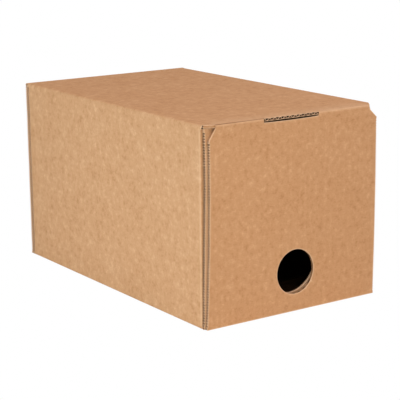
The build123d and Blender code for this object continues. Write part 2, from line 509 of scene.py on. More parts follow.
@dataclass
class Sheet:
    """Part of the carton's board, which collects the slabs of its liners, core and raw edges."""

    board: Board
    place: Place
    slabs: dict[Face, list[Slab]] = field(default_factory=lambda: {face: [] for face in Face})

    def liners(
        self, c: Array, r: Array, edge: Array, closed: bool = False,
        shade: Array | float = 0.0, lining: Array | float = 0.0,
    ) -> None:
        """Adds both liners on one grid, pressed in by the crush at raw edges.

        Args:
            c: Distances across, on a grid.
            r: Distances along, on the grid.
            edge: Share of raw edge.
            closed: Whether the first direction runs round.
            shade: How much painted shade the outer liner gets.
            lining: How much painted shade the inner liner gets.
        """
        press = self.board.crush * edge
        for face, sign, shade_amount in ((Face.OUTSIDE, 1, shade), (Face.INSIDE, -1, lining)):
            top, under = (depth + sign * press for depth in self.board.layer(face))
            self.slabs[face].append(slab(self.place, c, r, top, under, closed, edge, shade_amount))

    def flutes(
        self, c: Array, low: Array | float, high: Array | float, middle: Array = np.empty(0),
        closed: bool = False, pitch: float | None = None,
    ) -> None:
        """Adds the fluted core: half the board deep plus a sine of the distance across.

        Args:
            c: Distances across, one for each column.
            low: Where the columns begin, as one number or one for each.
            high: Where they end.
            middle: Rows between, if the sheet bends there.
            closed: Whether the columns run round.
            pitch: Length of one wave, if not the board's own.
        """
        b = self.board
        low, high = low + b.core_sink, high - b.core_sink
        first, last = (np.broadcast_to(end, c.shape)[:, None] for end in (low, high))
        r = np.concatenate([first, np.tile(middle, (len(c), 1)), last], axis=1)
        phase = 2 * math.pi * c / (pitch or b.pitch)
        mid = (b.thickness / 2 + b.wave * np.sin(phase))[:, None]
        slope = 2 * math.pi * b.wave / b.pitch * np.cos(phase)
        half = (b.core / 2 * np.sqrt(1 + slope**2))[:, None]
        grid = np.tile(c[:, None], (1, r.shape[1]))
        self.slabs[Face.CORE].append(slab(self.place, grid, r, mid - half, mid + half, closed))

    def flutes_round_hole(
        self, ends: tuple[float, float], low: Callable[[Array], Array],
        high: Callable[[Array], Array], centre: tuple[float, float], radius: float, step: float,
    ) -> None:
        """Adds the core of a sheet that has a hole, in four parts: beside, under and over it.

        Over the hole's width a column ends on the circle, at the centre's distance plus or minus
        the root of the squared radius less the squared distance from the centre.

        Args:
            ends: Distances across of the first and the last column.
            low: Gives where columns begin, from their distances across.
            high: Gives where they end.
            centre: Across and along of the hole's centre.
            radius: Radius of the hole.
            step: Distance between columns.
        """
        x0, x1 = centre[0] - radius, centre[0] + radius
        for start, end in ((ends[0], x0), (x1, ends[1])):
            fine = spaced(start, end, step)
            self.flutes(fine, low(fine), high(fine))
        fine = spaced(x0, x1, step)
        rise = np.sqrt(np.maximum(radius**2 - (fine - centre[0]) ** 2, 0.0))
        self.flutes(fine, low(fine), centre[1] - rise)
        self.flutes(fine, centre[1] + rise, high(fine))

    def cut_depths(self, count: int) -> Array:
        """Depths between the two liners, with a little of each liner behind the first and last."""
        skin = self.board.liner * 0.8
        return np.linspace(skin, self.board.thickness - skin, count)

    def cut_face(
        self, face: tuple[Array, Array], back: tuple[Array, Array], depth: Array,
        hollow: Array | float, closed: bool = False, raw: float = 0.6,
    ) -> None:
        """Adds a filled raw edge between the liners, from its face to its hidden back.

        Args:
            face: Distances across and along of the face, on a grid or its first column.
            back: The same for the back.
            depth: Depths below the outer face, one for each column of the grid.
            hollow: How much painted shade each point of the face has.
            closed: Whether the grid runs round.
            raw: How light the cut is.
        """
        shape = (len(face[0]), len(depth))
        grids = [np.broadcast_to(a.reshape(len(a), -1), shape) for a in (*face, *back)]
        depths = np.broadcast_to(depth, shape)

        def edge_place(c: Array, r: Array, lift: Array) -> Array:
            """Places the face where lift is zero and the back where it is one."""
            far = lift > 0.5
            return self.place(
                np.where(far, grids[2], grids[0]), np.where(far, grids[3], grids[1]), depths)

        self.slabs[Face.CUT].append(slab(
            edge_place, grids[0], grids[1], 0.0, 1.0, closed, edge=raw,
            hollow=np.broadcast_to(hollow, shape)))

    def serrated_edge(
        self, along: Array, across: Array, inward: float, floor: float = 0.5, shade_amount: float = 1.1,
    ) -> None:
        """Adds the crushed raw edge between the liners where a cut runs along the flutes.

        The face is set back from the cut by the teeth, and further by pockets. A pocket's share
        is the floor plus the rest times the notch, times one minus the fourth power of the
        distance from the middle of the board, and its square darkens the face with painted shade.

        Args:
            along: Distances along the cut.
            across: Where the cut is, one value for each distance.
            inward: 1 where the board lies at greater distances across, or -1.
            floor: Share of the pocket's depth that is also there between the notches.
            shade_amount: How much painted shade a full pocket gets.
        """
        b = self.board
        depth = self.cut_depths(b.plain_depths)
        bowl = 1 - ((depth - b.thickness / 2) / (b.thickness / 2 - b.liner)) ** 4
        share = floor + (1 - floor) * notches(along, b)
        pocket = share[:, None] * np.clip(bowl, 0.0, 1.0)[None, :]
        recess = b.raw_recess + teeth(along, b)[:, None] + b.pocket_depth * pocket
        face, back = across[:, None] + inward * recess, across + inward * b.edge_reach
        self.cut_face((face, along), (back, along), depth, shade_amount * pocket**2)

    def fluted_end(self, c: Array, end: Array, inward: float, pitch: float) -> None:
        """Adds the raw end where a cut runs across the flutes.

        The core is where the depth lies close to half the board plus a sine of the distance
        across. Closeness is the gap in depth divided by the root of one plus the squared slope,
        and past the core's half thickness a smooth step of it sinks the face into a cell, which
        is darkened with painted shade.

        Args:
            c: Distances across, one for each column.
            end: Where each column ends.
            inward: 1 where the board lies at greater distances along, or -1.
            pitch: Length of one wave.
        """
        b = self.board
        depth = self.cut_depths(b.fluted_depths)
        phase = 2 * math.pi * c / pitch
        slope = 2 * math.pi * b.wave / pitch * np.cos(phase)
        gap = np.abs(depth[None, :] - b.thickness / 2 - b.wave * np.sin(phase)[:, None])
        near = gap / np.sqrt(1 + slope**2)[:, None]
        t = np.clip((near - b.core_seen) / b.cell_slope, 0.0, 1.0)
        over = depth[None, :] < b.thickness / 2 + b.wave * np.sin(phase)[:, None]
        cell = t * t * (3 - 2 * t) * np.where(over, 1.0, b.cell_shallow)
        face = end[:, None] + inward * (b.raw_recess + b.cell_depth * cell)
        back = end + inward * b.end_reach
        self.cut_face((c, face), (c, back), depth, b.cell_shade * cell, raw=1.0)

    def plain_end(
        self, c: Array, end: Array, inward: float, hollow: Array | float, raw: float = 0.1,
    ) -> None:
        """Adds a raw end whose flutes are pressed shut, darkened by the painted shade it is given.
        """
        b = self.board
        face, back = end + inward * b.plain_recess, end + inward * b.end_reach
        self.cut_face((c, face), (c, back), self.cut_depths(b.plain_depths), hollow, raw=raw)

    def hole_wall(
        self, centre: tuple[float, float], radius: float, hollow: float, raw: float,
    ) -> None:
        """Adds the pressed wall of a round hole, a little outside its radius, with the painted
        shade it is given.
        """
        b = self.board
        turn = np.linspace(0.0, 2 * math.pi, b.wall_points + 1)[:-1]
        x, y = np.cos(turn), np.sin(turn)
        near, far = radius + b.wall_rings[0], radius + b.wall_rings[1]
        phase = 2 * math.pi * (centre[0] + radius * x) / b.pitch
        flute = 1 + b.wall_ripple * np.sin(phase)
        self.cut_face(
            (centre[0] + near * x, centre[1] + near * y),
            (centre[0] + far * x, centre[1] + far * y),
            self.cut_depths(b.wall_depths), hollow * flute[:, None], closed=True, raw=raw)


@dataclass(frozen=True)
class Outline:
    """A closed cut line, as (across, along) points in order, with how far its teeth pull in.

    The window is the distance over which the line's inward direction turns at a corner. It is
    more than twice the deepest inset, so that the rows beside a corner don't fold over.
    """

    across: Array
    along: Array
    pull: Array
    window: float = 7.0

    @staticmethod
    def of(parts: Sequence[tuple[Array, ...]]) -> "Outline":
        """Joins runs of points, leaving out the last point of each; a third array is the pull."""
        pulls = [p[2] if len(p) > 2 else np.zeros_like(p[0]) for p in parts]
        return Outline(
            np.concatenate([p[0][:-1] for p in parts]), np.concatenate([p[1][:-1] for p in parts]),
            np.concatenate([pull[:-1] for pull in pulls]))

    def inward(self, centre: tuple[float, float]) -> tuple[Array, Array]:
        """Directions into the outline, which turn smoothly at its corners.

        A direction is the chord from a window's width before the point to the same width behind
        it, turned by a right angle and divided by its length along the line, so it has unit
        length where the line is straight.

        Args:
            centre: A point inside, which picks the side.

        Returns:
            The across and along parts.
        """
        x, z = np.append(self.across, self.across[0]), np.append(self.along, self.along[0])
        s = np.concatenate([[0.0], np.cumsum(np.hypot(np.diff(x), np.diff(z)))])
        ahead, behind = (s[:-1] + self.window) % s[-1], (s[:-1] - self.window) % s[-1]
        dx, dz = (np.interp(ahead, s, k) - np.interp(behind, s, k) for k in (x, z))
        nx, nz = -dz / (2 * self.window), dx / (2 * self.window)
        side = nx * (centre[0] - self.across) + nz * (centre[1] - self.along)
        sign = 1.0 if side.sum() > 0 else -1.0
        return sign * nx, sign * nz

    def rings(self, centre: tuple[float, float], radius: float) -> tuple[Array, Array, Array]:
        """Grid from a round hole to the outline, on rays from the hole's centre.

        The rows keep fixed distances from the hole along each ray, then from the outline along
        its inward directions, with one row halfway. Teeth pull a point across by an amount that
        fades to nothing at the innermost of the outline's rows.

        Args:
            centre: Across and along of the hole's centre.
            radius: Radius of the hole.

        Returns:
            Distances across and along, and shares of raw edge, each on the grid.
        """
        dx, dz = self.across - centre[0], self.along - centre[1]
        reach = np.hypot(dx, dz)
        inset = EDGE_INSETS[::-1]
        nx, nz = self.inward(centre)
        fade = 1 - inset / inset[0]
        near = radius + EDGE_INSETS
        c = [centre[0] + (dx / reach)[:, None] * near, None,
             self.across[:, None] + nx[:, None] * inset + self.pull[:, None] * fade]
        r = [centre[1] + (dz / reach)[:, None] * near, None,
             self.along[:, None] + nz[:, None] * inset]
        for rows in (c, r):
            rows[1] = (rows[0][:, -1:] + rows[2][:, :1]) / 2
        share = np.concatenate([EDGE_SHARES, [0.0], EDGE_SHARES[::-1]])
        return np.concatenate(c, axis=1), np.concatenate(r, axis=1), np.tile(share, (len(reach), 1))

    def flank(self, edge: Array, shade_amount: tuple[float, float]) -> Array:
        """Painted shade on the inner liner beside a serrated edge, where it is seen past the
        notches.

        Args:
            edge: Share of raw edge, on the grid of the rings.
            shade_amount: Painted shade between the notches, and what a full notch adds.

        Returns:
            Painted shade, on the same grid.
        """
        notch = np.abs(self.pull) / Board.tooth_depth
        return edge * (shade_amount[0] + shade_amount[1] * notch)[:, None]


def between(low: Array | float, high: Array | float) -> tuple[Array, Array]:
    """Rows from one raw edge to the other with one halfway, and the share of raw edge of each.

    Args:
        low: The first edge, as one number or one for each line of the grid.
        high: The second edge.

    Returns:
        The rows, on a grid, and the shares, one for each row.
    """
    low, high = np.atleast_1d(low)[:, None], np.atleast_1d(high)[:, None]
    rows = np.concatenate([low + EDGE_INSETS, (low + high) / 2, high - EDGE_INSETS[::-1]], axis=1)
    return rows, np.concatenate([EDGE_SHARES, [0.0], EDGE_SHARES[::-1]])


def line(start: tuple[float, float], end: tuple[float, float], step: float) -> tuple[Array, Array]:
    """Straight run of points from start to end."""
    n = max(2, int(math.hypot(end[0] - start[0], end[1] - start[1]) / step) + 1)
    t = np.linspace(0.0, 1.0, n)
    return start[0] + (end[0] - start[0]) * t, start[1] + (end[1] - start[1]) * t


# Sub-assemblies


@dataclass
class Sleeve:
    """The four long panels, their folds, the tongue and the cut corners of the top panel.

    The corner gap keeps the relief and the notch clear of the flap's liners beside the crease's
    ends. The inside liner is darkened with painted shade, but not on the floor in front of the lit
    floor, which is seen through the tap hole. Two open flutes show at the end of the left fold as
    painted shade: the places are their distances from either end of the cut, the middle is the
    depth that they are centred on, and width and height are the widths of their two bells.
    """

    carton: Carton
    board: Board
    column_step: float = 12.0
    fold_step: float = 0.45
    flute_step: float = 0.5
    end_step: float = 0.3
    relief_step: float = 1.0
    notch_step: float = 0.4
    end_clearance: float = 0.05
    notch_clearance: float = 0.3
    corner_columns: int = 6
    middle_rows: tuple[float, ...] = (
        -148.5, -120.0, -95.0, -85.0, -47.5, -10.0, 27.5, 65.0, 102.5, 140.0)
    # Painted highlights at the crease and at the side folds, and painted shade inside the sleeve
    crease_highlight: float = 0.3
    side_highlight: float = 0.3
    lining_shade: float = 0.8
    lip_shade: float = 0.3
    lit_floor: float = -90.0
    corner_gap: float = 0.2
    relief_shade: float = 0.26
    notch_shade: float = 0.12
    flute_places: tuple[float, float] = (0.9, 0.6)
    flute_middle: float = 1.3
    flute_width: float = 0.75
    flute_height: float = 1.2
    flute_shade: float = 1.5

    def ends(self, c: Array) -> tuple[Array, Array]:
        """Front and rear ends of the sleeve for each distance round its section.

        The bottom ends where the lower flaps fold up, the sides where the side flaps fold in,
        and the top behind the crease and a gap to each side of it. The left relief is a straight
        line from the crease's end to the fold, the tongue reaches the front, and the right notch
        is a plane through the crease's end, the fold and the side panel.

        Args:
            c: Distances round the section.

        Returns:
            Y of the front end and of the rear end.
        """
        k, b = self.carton, self.board
        x, z, _, nz = self.tube.section(c)
        low, high = b.thickness + k.slot_gap, k.height - b.thickness - k.slot_gap
        foot = k.length / 2 - b.thickness - k.gap - k.fold
        side = k.length / 2 - 2 * (b.thickness + k.gap) - k.side_fold
        top = k.length / 2 - k.sleeve_recess
        rear = np.where(z < low, foot, np.where(z < high, side, top))
        front = -rear
        on_top = nz > SQUARE
        first, last = k.crease_ends
        begin, clear = first - self.corner_gap, last + self.corner_gap
        relief = k.front + k.sleeve_recess * (1 - (x - k.left) / k.left_relief)
        front = np.where(on_top & (x < begin), relief, front)
        crease = k.front + b.thickness + k.gap
        front = np.where(on_top & (x >= begin) & (x <= clear), crease, front)
        half = k.tongue_half - k.tongue_gap
        front = np.where(on_top & (np.abs(x - k.tongue_x) <= half), k.front, front)
        across = k.notch_reach / k.right_relief
        down = (k.notch_reach - 2 * (b.thickness + k.gap)) / k.notch_drop
        notch = k.front + across * (x - last) - down * (k.height - z)
        notch = np.maximum(notch, np.where(on_top, k.front, front))
        return np.where((x > clear) & (z > k.height / 2), notch, front), rear

    def raw_shares(self, c: Array) -> tuple[Array, Array]:
        """How raw the front and rear ends are: cut on top, a painted highlight at the side folds,
        else folded.
        """
        k, b = self.carton, self.board
        x, z, _, nz = self.tube.section(c)
        first, last = k.crease_ends
        high = k.height - b.thickness - k.slot_gap
        tongue = np.abs(x - k.tongue_x) <= k.tongue_half - k.tongue_gap
        on_top = np.where((x < first) | (x > last) | tongue, 1.0, 0.0)
        rear = np.where((z > high) & (nz < SQUARE), 1.0, 0.0)
        return np.where(z > high, on_top, self.side_highlight), rear

    @property
    def tube(self) -> Tube:
        """The section that the sleeve follows."""
        return Tube(self.carton.width, self.carton.height, self.carton.fold)

    def top_at(self, x: Array | float) -> Array | float:
        """Distance round the section of points on the top panel."""
        return self.tube.stops[4] + (self.carton.right - self.carton.fold - x)

    def steps(self) -> list[float]:
        """Distances round the section at which an end jumps."""
        k, s = self.carton, self.tube.stops
        low, high = self.board.thickness + k.slot_gap, k.height - self.board.thickness - k.slot_gap
        half = k.tongue_half - k.tongue_gap
        first, last = k.crease_ends
        tops = [
            first - self.corner_gap, last + self.corner_gap, k.tongue_x - half, k.tongue_x + half]
        right = [s[2] + low - k.fold, s[2] + high - k.fold]
        left = [s[7] - (low - k.fold), s[7] - (high - k.fold)]
        return right + left + [self.top_at(x) for x in tops]

    def sheet(self) -> Sheet:
        """Both liners and the core of the sleeve, as rings that close on themselves."""
        tube, s = self.tube, self.tube.stops
        coarse = np.concatenate([
            spaced(s[k], s[k + 1], self.fold_step if k in (1, 3, 5, 7) else self.column_step)
            for k in range(9)])
        first, last = self.carton.crease_ends
        corner = self.top_at(
            np.linspace(last, self.carton.right - self.carton.fold, self.corner_columns))
        c = with_steps(np.concatenate([coarse, corner]), self.steps())
        c = c[c < s[-1] - TOUCH]
        front, rear = self.ends(c)
        sheet = Sheet(self.board, tube.place)
        r, edge = crushed_rows(front, rear, np.array(self.middle_rows))
        half = r.shape[1] // 2
        cut_front, cut_rear = self.raw_shares(c)
        edge = np.concatenate(
            [edge[:, :half] * cut_front[:, None], edge[:, half:] * cut_rear[:, None]], axis=1)
        x, _, _, nz = tube.section(c)
        # Painted highlight along the top panel's front end beside the crease
        creased = (nz > SQUARE) & (x >= first) & (x <= last)
        edge[creased, :EDGE_ROWS] = np.maximum(edge[creased, :EDGE_ROWS], self.crease_highlight)
        # Painted shade over the inside liner, left off the bottom in front of the lit floor,
        # lighter at the front lip
        dark = np.full(r.shape, self.lining_shade)
        dark[(nz < -SQUARE)[:, None] & (r < self.lit_floor)] = 0.0
        dark[:, :2] = self.lip_shade
        sheet.liners(np.tile(c[:, None], (1, r.shape[1])), r, edge, closed=True, lining=dark)
        fine = with_steps(spaced(0.0, s[-1], self.flute_step), self.steps())
        fine = fine[fine < s[-1] - TOUCH]
        front, rear = self.ends(fine)
        pitch = s[-1] / round(s[-1] / self.board.pitch)
        sheet.flutes(fine, front, rear, closed=True, pitch=pitch)
        self.raw_ends(sheet, pitch)
        return sheet

    def raw_ends(self, sheet: Sheet, pitch: float) -> None:
        """Adds the raw ends that are seen from the front: tongue, relief, corner notch and fold.

        At the left fold's end two open flutes show as painted shade, in two bells of the distance
        across.

        Args:
            sheet: The sleeve's sheet.
            pitch: Length of one wave of its core.
        """
        k, b, s = self.carton, self.board, self.tube.stops
        first, last = k.crease_ends
        half = k.tongue_half - k.tongue_gap
        tip = spaced(
            self.top_at(k.tongue_x + half) + self.end_clearance,
            self.top_at(k.tongue_x - half) - self.end_clearance, self.end_step)
        sheet.fluted_end(tip, self.ends(tip)[0], 1.0, pitch)
        clear = 2 * TOUCH
        relief = spaced(self.top_at(first - self.corner_gap) + clear, s[5], self.relief_step)
        # The relief's cut face, in painted shade
        sheet.plain_end(relief, self.ends(relief)[0], 1.0, self.relief_shade, raw=0.0)
        low = b.thickness + k.slot_gap - k.fold
        fold = spaced(s[5], s[6] + low - self.end_clearance, self.end_step)
        near, far = s[5] + self.flute_places[0], fold[-1] - self.flute_places[1]
        # Two open flutes drawn as bells of painted shade
        bell = sum(np.exp(-(((fold - at) / self.flute_width) ** 4)) for at in (near, far))
        depth = sheet.cut_depths(b.plain_depths)
        middle = np.exp(-(((depth - self.flute_middle) / self.flute_height) ** 4))
        shade_mark = self.flute_shade * bell[:, None] * middle[None, :]
        sheet.plain_end(fold, self.ends(fold)[0], 1.0, shade_mark, raw=1.0)
        side = s[2] + k.height - k.notch_drop - k.fold + self.notch_clearance
        notch = spaced(side, self.top_at(last + self.corner_gap) - clear, self.notch_step)
        # The notch's cut face, in painted shade
        sheet.plain_end(notch, self.ends(notch)[0], 1.0, self.notch_shade)


@dataclass
class Flaps:
    """The flaps that stay still: side flaps, lower flaps and the outer rear flap.

    Only the lower front flap is seen while the carton is closed, in the corner of the relief, as
    a strip beside the outer flap and inside the tap hole, so its painted shade and highlights
    follow the rows and columns there. The painted shade grows towards the top over the corner ramp,
    a distance below the top and the length that it grows over. The strip is its width from the
    carton's side and where it ends below the top, and it gets a painted highlight. The row behind
    the relief keeps only a share of its raw look, a painted shade.
    """

    carton: Carton
    board: Board
    flute_step: float = 0.5
    tooth_step: float = 0.42
    corner_step: float = 0.8
    plain_step: float = 1.0
    first_row: float = 0.4
    fold_columns: int = 8
    rear_rows: int = 11
    rear_fade: float = 2.0
    # Painted highlights on the folds and the strip, painted shade on the lower front flap
    wear_and_highlight: float = 0.3
    highlight_share: float = 0.55
    face_shade: float = 0.05
    corner_shade: float = 0.14
    corner_ramp: tuple[float, float] = (14.0, 6.0)
    hole_shade: tuple[float, ...] = (0.44, 0.44, 0.44, 0.12)
    side_highlight: float = 0.35
    strip: tuple[float, float] = (4.0, 16.0)
    hidden_reach: float = 3.0
    hidden_share: float = 0.15
    top_shade: float = 0.15
    flank_shade: tuple[float, float] = (0.5, 0.65)
    pocket_floor: float = 0.65
    pocket_shade: float = 1.4
    leaning_core_inset: float = 5.6
    end_clearance: float = 0.3
    dip_past: float = 1.0
    dip_ramp: float = 3.0

    def fold_rows(self, bend: Bend, end: float, past: float = 20.0) -> Array:
        """Rows before the end, close together round the fold, and one some way past it."""
        fold = np.linspace(bend.straight, bend.straight + bend.arc, 11)
        rows = np.concatenate([fold, [bend.straight + bend.arc + past]])
        margin = EDGE_INSETS[-1] / 2
        return rows[(rows > margin) & (rows < end - margin)]

    def side_flap(self, side: int, end: int) -> Sheet:
        """One of the four short flaps.

        Args:
            side: -1 for the left panel's flap, 1 for the right's.
            end: -1 at the front, 1 at the rear.

        Returns:
            The flap's sheet.
        """
        k, b = self.carton, self.board
        start = k.length / 2 - 2 * (b.thickness + k.gap) - k.side_fold
        bend = Bend(
            (side * k.width / 2, end * start, 0.0), (0, end, 0), (side, 0, 0), (0, 0, 1), 0.0,
            k.side_fold)
        low = b.thickness + k.slot_gap + 2 * TOUCH
        high = k.height - b.thickness - k.slot_gap - 2 * TOUCH
        if side > 0 and end < 0:
            high = k.height - k.notch_drop
        length = bend.arc + k.side_flap - k.side_fold
        sheet = Sheet(b, bend.place)
        c, share = between(low, high)
        head = [0.0, self.first_row]
        rows = np.concatenate([head, self.fold_rows(bend, length), length - EDGE_INSETS[::-1]])
        r = np.tile(rows, (c.size, 1))
        edge = np.tile(share[:, None], (1, len(rows)))
        # Painted highlight, partly wear, along the start of the fold
        edge[:, rows < self.highlight_share * bend.arc] = self.wear_and_highlight
        edge[:, -1] = 1.0
        sheet.liners(np.tile(c.reshape(-1, 1), (1, len(rows))), r, edge)
        fine = spaced(low + self.end_clearance, high - self.end_clearance, self.flute_step)
        sheet.flutes(fine, -b.core_sink, length, rows[1:-EDGE_ROWS])
        return sheet

    def lower_flap(self, end: int) -> Sheet:
        """The flap that the bottom panel folds up, with the second tap hole if it is in front.

        Args:
            end: -1 at the front, 1 at the rear.

        Returns:
            The flap's sheet.
        """
        k, b = self.carton, self.board
        start = k.length / 2 - b.thickness - k.gap - k.fold
        bend = Bend((0.0, end * start, 0.0), (0, end, 0), (0, 0, -1), (1, 0, 0), 0.0, k.fold)
        left, right = k.left + k.lower_inset, k.right - k.lower_inset
        top = bend.arc + k.height - b.thickness - k.lower_top_gap - k.fold
        sheet = Sheet(b, bend.place)
        along = spaced(bend.arc, top, self.tooth_step)
        if end < 0:
            lean = k.left + np.interp(along, *k.lower_lean)
            tall = along[along <= top - k.lower_corner[1]]
            self.seen_face(sheet, bend, along, lean, tall)
        else:
            lean, tall = left * np.ones_like(along), along
            self.unseen_face(sheet, bend, along)
        fold_rows = np.linspace(0.0, bend.arc, self.fold_columns + 1)
        c, share = between(left, right)
        sheet.liners(
            np.tile(c.reshape(-1, 1), (1, len(fold_rows))), np.tile(fold_rows, (c.size, 1)),
            np.tile(share[:, None], (1, len(fold_rows))))
        fine = spaced(left + self.end_clearance, right - self.end_clearance, self.flute_step)
        sheet.flutes(fine, -b.core_sink, bend.arc + b.core_sink, fold_rows[1:-1])
        # Pockets of the left edge darkened with painted shade
        sheet.serrated_edge(along, lean, 1.0, floor=self.pocket_floor, shade_amount=self.pocket_shade)
        sheet.serrated_edge(tall, right * np.ones_like(tall), -1.0)
        return sheet

    def seen_face(
        self, sheet: Sheet, bend: Bend, along: Array, lean: Array, tall: Array,
    ) -> None:
        """Adds the upright part of the lower front flap, with its hole, cut corner and dip.

        Args:
            sheet: The flap's sheet.
            bend: Its fold.
            along: Distances along its left edge, from the fold to the top.
            lean: Where the left edge is at each of them.
            tall: Distances along its right edge, which ends at the cut corner.
        """
        k, b = self.carton, self.board
        right, top = k.right - k.lower_inset, along[-1]
        corner = right - k.lower_corner[0]
        over, _ = line((corner, top), (lean[-1], top), self.plain_step)
        rim = Outline.of([
            (right * np.ones_like(tall), tall, -teeth(tall, b)),
            line((right, tall[-1]), (over[0], top), self.corner_step),
            (over, top - self.dip(over)),
            (lean[::-1], along[::-1], teeth(along, b)[::-1]),
            line((lean[0], bend.arc), (right, bend.arc), self.plain_step)])
        offset, rise, radius = k.inner_hole
        centre = (k.hole_x + offset, bend.arc + k.hole_z + rise - k.fold)
        c, r, edge = rim.rings(centre, radius)
        end_c, end_r = c[:, -1], r[:, -1]
        edge = np.where((end_r <= bend.arc + TOUCH)[:, None] & RIM, 0.0, edge)
        # Behind the relief the top edge keeps only a share of its raw lightness, a painted shade
        hidden = (end_r > top - TOUCH) & (end_c < k.crease_ends[0] + self.hidden_reach)
        edge = np.where(hidden[:, None] & RIM, self.hidden_share * edge, edge)
        # Painted shade: a little over the face, more up the corner ramp, kept off raw edges, and a
        # ring round the hole
        below, length = self.corner_ramp
        ramp = np.clip((r - top + below) / length, 0.0, 1.0)
        shade_amount = (self.face_shade + self.corner_shade * ramp) * np.clip(1.0 - 2.0 * edge, 0.0, 1.0)
        shade_amount[:, :EDGE_ROWS] = np.maximum(shade_amount[:, :EDGE_ROWS], self.hole_shade)
        # Painted shade on the inner liner beside the serrated edges, seen past the notches
        flank = rim.flank(edge, self.flank_shade)
        # Painted highlight on the strip beside the outer flap
        strip = (end_c < k.left + self.strip[0]) & (end_r < top - self.strip[1])
        beside = slice(EDGE_ROWS + 1, EDGE_ROWS + 3)
        edge[strip, beside] = np.maximum(edge[strip, beside], self.side_highlight)
        sheet.liners(c, r, edge, closed=True, shade=shade_amount, lining=flank)
        back = over[::-1]
        # The top edge's cut face gets painted shade and a share of raw lightness
        sheet.plain_end(back, top - self.dip(back), -1.0, self.top_shade, raw=self.wear_and_highlight)
        sheet.hole_wall(centre, radius, 0.0, 1.0)
        sheet.flutes_round_hole(
            (k.left + self.leaning_core_inset, corner), lambda across: bend.arc,
            lambda across: top - self.dip(across), centre, radius, self.flute_step)

    def unseen_face(self, sheet: Sheet, bend: Bend, along: Array) -> None:
        """Adds the upright part of the lower rear flap.

        Args:
            sheet: The flap's sheet.
            bend: Its fold.
            along: Distances along its side edges, from the fold to the top.
        """
        k, b = self.carton, self.board
        left, right = k.left + k.lower_inset, k.right - k.lower_inset
        bite = teeth(along, b)
        c, share = between(left + bite, right - bite)
        r = np.tile(along[:, None], (1, len(share)))
        edge = np.tile(share, (len(along), 1))
        edge[-1] = 1.0
        sheet.liners(c, r, edge)
        fine = spaced(left + b.core_inset, right - b.core_inset, self.flute_step)
        sheet.flutes(fine, bend.arc - b.core_sink, along[-1])

    def dip(self, c: Array) -> Array:
        """How far the lower flap's top edge drops behind the slot, with a ramp at each end."""
        k = self.carton
        past_slot = np.abs(c - k.tongue_x) - k.tongue_half
        return k.lower_dip * np.clip((self.dip_past - past_slot) / self.dip_ramp, 0.0, 1.0)

    def rear_flap(self) -> Sheet:
        """The outer flap that the top panel folds down over the rear."""
        k, b = self.carton, self.board
        start = k.length / 2 - k.sleeve_recess
        bend = Bend(
            (0.0, start, k.height), (0, 1, 0), (0, 0, 1), (1, 0, 0), k.sleeve_recess - k.fold,
            k.fold)
        top = bend.straight + bend.arc
        foot = top + k.height - k.fold - k.ground_gap
        along = spaced(top, foot, self.tooth_step)
        folded = np.linspace(0.0, top, self.rear_rows + 1)
        rows = np.concatenate([folded[:-1], along])
        back = teeth(rows, b) * np.clip((rows - top) / self.rear_fade + 1.0, 0.0, 1.0)
        cut_left, cut_right = k.left + back, k.right - back
        c, share = between(cut_left, cut_right)
        edge = np.tile(share, (len(rows), 1))
        edge[-1] = 1.0
        sheet = Sheet(b, bend.place)
        sheet.liners(c, np.tile(rows[:, None], (1, len(share))), edge)
        fine = spaced(k.left + b.core_inset, k.right - b.core_inset, self.flute_step)
        sheet.flutes(fine, -b.core_sink, foot, folded[1:])
        sheet.serrated_edge(rows, k.left * np.ones_like(rows), 1.0)
        sheet.serrated_edge(rows, k.right * np.ones_like(rows), -1.0)
        return sheet


